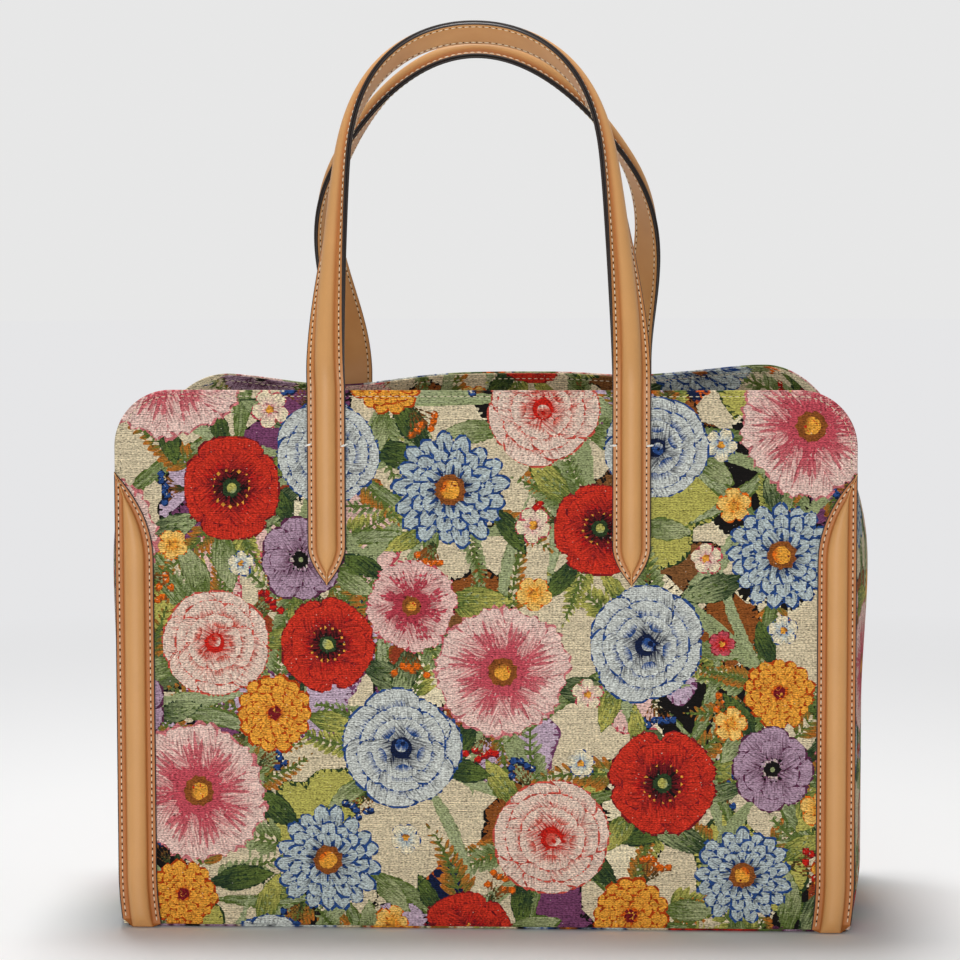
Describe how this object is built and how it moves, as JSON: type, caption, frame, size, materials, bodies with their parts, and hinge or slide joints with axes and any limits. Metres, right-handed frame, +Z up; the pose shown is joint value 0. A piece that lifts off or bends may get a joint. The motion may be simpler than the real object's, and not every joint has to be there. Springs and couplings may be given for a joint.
{
  "type": "tote bag",
  "caption": "Open-topped printed canvas tote bag with padded leather strap handles and leather trims down its corners.",
  "frame": {"origin": "middle of the base on the floor", "axes": "+Z up, front panel faces -Y, +X to the right seen from the front"},
  "size_m": [0.408, 0.1798, 0.4793],
  "materials": {
    "printed_canvas": "woven canvas with an all-over floral print",
    "lining_cloth": "plain twill",
    "stiffener": "plain board",
    "ridged_leather": "smooth natural leather with painted edges",
    "backing_leather": "smooth natural leather",
    "padding": "felted cord"
  },
  "bodies": {
    "root": {"front_panel": "printed_canvas", "back_panel": "printed_canvas", "left_gusset": "printed_canvas", "right_gusset": "printed_canvas", "base_panel": "printed_canvas", "front_facing": "printed_canvas", "back_facing": "printed_canvas", "lining": "lining_cloth", "base_board": "stiffener", "front_left_trim": "ridged_leather", "front_right_trim": "ridged_leather", "back_left_trim": "ridged_leather", "back_right_trim": "ridged_leather", "front_handle_outer": "ridged_leather", "back_handle_outer": "ridged_leather", "front_handle_backing": "backing_leather", "back_handle_backing": "backing_leather", "front_left_trim_filler": "padding", "front_right_trim_filler": "padding", "back_left_trim_filler": "padding", "back_right_trim_filler": "padding", "front_handle_core": "padding", "back_handle_core": "padding"}
  },
  "joints": []
}
